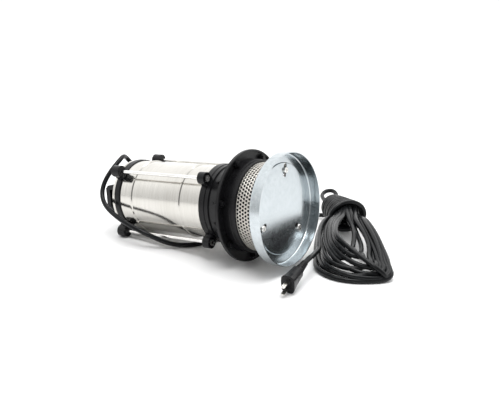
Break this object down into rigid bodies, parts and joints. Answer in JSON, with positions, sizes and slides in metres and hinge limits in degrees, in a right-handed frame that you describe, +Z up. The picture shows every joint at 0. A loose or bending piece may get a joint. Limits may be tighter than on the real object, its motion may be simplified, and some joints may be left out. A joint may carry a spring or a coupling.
{
  "type": "submersible sump pump",
  "caption": "Slim submersible sump pump lying on its side, with steel shell, tie rods, screened suction, base plate, mains cord and plug.",
  "frame": {"origin": "centre of the lying pump's footprint, on the floor, cord and plug left out", "axes": "+X towards the pump's base plate along its length, +Z up from the floor it lies on, +Y to the side away from the handle"},
  "size_m": [0.5264, 0.4356, 0.1943],
  "materials": {
    "galvanised": "zinc-plated, satin",
    "zinc": "bright zinc",
    "strainer_steel": "perforated stainless",
    "black_casting": "black semi-gloss",
    "seal_rubber": "matt",
    "cast_brass": "cast",
    "shaft_steel": "ground",
    "seal_ceramic": "lapped ceramic",
    "core_steel": "varnished laminations",
    "cast_aluminium": "as cast",
    "copper_winding": "enamelled copper",
    "capacitor_case": "matt",
    "can_steel": "satin",
    "stainless": "bright satin stainless",
    "black_plastic": "moulded",
    "cord_rubber": "matt",
    "rod_steel": "bright zinc",
    "plug_vinyl": "moulded vinyl",
    "plug_brass": "nickel-plated brass",
    "cord_jacket": "matt vinyl jacket"
  },
  "bodies": {
    "pump_body": {"base_plate": "galvanised", "base_screws": "zinc", "strainer": "strainer_steel", "suction_cover": "black_casting", "cover_gasket": "seal_rubber", "pump_casing": "black_casting", "cover_screws": "black_casting", "seal_seat": "seal_ceramic", "lower_bearing_outer_race": "shaft_steel", "upper_bearing_outer_race": "shaft_steel", "stator_core": "core_steel", "stator_windings": "copper_winding", "lower_end_bell": "cast_aluminium", "upper_end_bell": "cast_aluminium", "start_capacitor": "capacitor_case", "motor_can": "can_steel", "outer_shell": "stainless", "lower_shell_seal": "seal_rubber", "upper_shell_seal": "seal_rubber", "top_cap": "black_casting", "cap_plate": "stainless", "discharge_head": "black_casting", "head_screws": "zinc", "carry_handle": "black_plastic", "gland_nut": "black_plastic", "strain_relief": "cord_rubber", "tie_rods": "rod_steel", "lower_rod_nuts": "zinc", "upper_rod_washers": "zinc", "upper_rod_nuts": "zinc", "plug_strain_relief": "plug_vinyl", "plug_body": "plug_vinyl", "plug_blades": "plug_brass", "cord_lead": "cord_jacket", "cord_tail": "cord_jacket", "cord_hank": "cord_jacket"},
    "rotor": {"impeller": "cast_brass", "impeller_nut": "zinc", "shaft": "shaft_steel", "seal_head": "seal_rubber", "seal_spring": "shaft_steel", "seal_collar": "shaft_steel", "lower_bearing_inner_race": "shaft_steel", "upper_bearing_inner_race": "shaft_steel", "rotor_core": "core_steel", "rotor_end_rings": "cast_aluminium"},
    "lower_ball_ring": {"lower_bearing_balls": "shaft_steel"},
    "upper_ball_ring": {"upper_bearing_balls": "shaft_steel"}
  },
  "joints": [
    {"name": "rotor_spin", "type": "hinge", "parent": "pump_body", "child": "rotor", "pos_m": [-0.02131, 0, 0.07899], "axis": [-0.9931, 0, -0.1172], "continuous": true},
    {"name": "lower_balls_spin", "type": "hinge", "parent": "pump_body", "child": "lower_ball_ring", "pos_m": [0.04523, 0, 0.08685], "axis": [-0.9931, 0, -0.1172], "continuous": true},
    {"name": "upper_balls_spin", "type": "hinge", "parent": "pump_body", "child": "upper_ball_ring", "pos_m": [-0.08338, 0, 0.07166], "axis": [-0.9931, 0, -0.1172], "continuous": true}
  ],
  "couplings": [
    {"joint": "lower_balls_spin", "follows": "rotor_spin", "ratio": 0.384},
    {"joint": "upper_balls_spin", "follows": "rotor_spin", "ratio": 0.384}
  ]
}
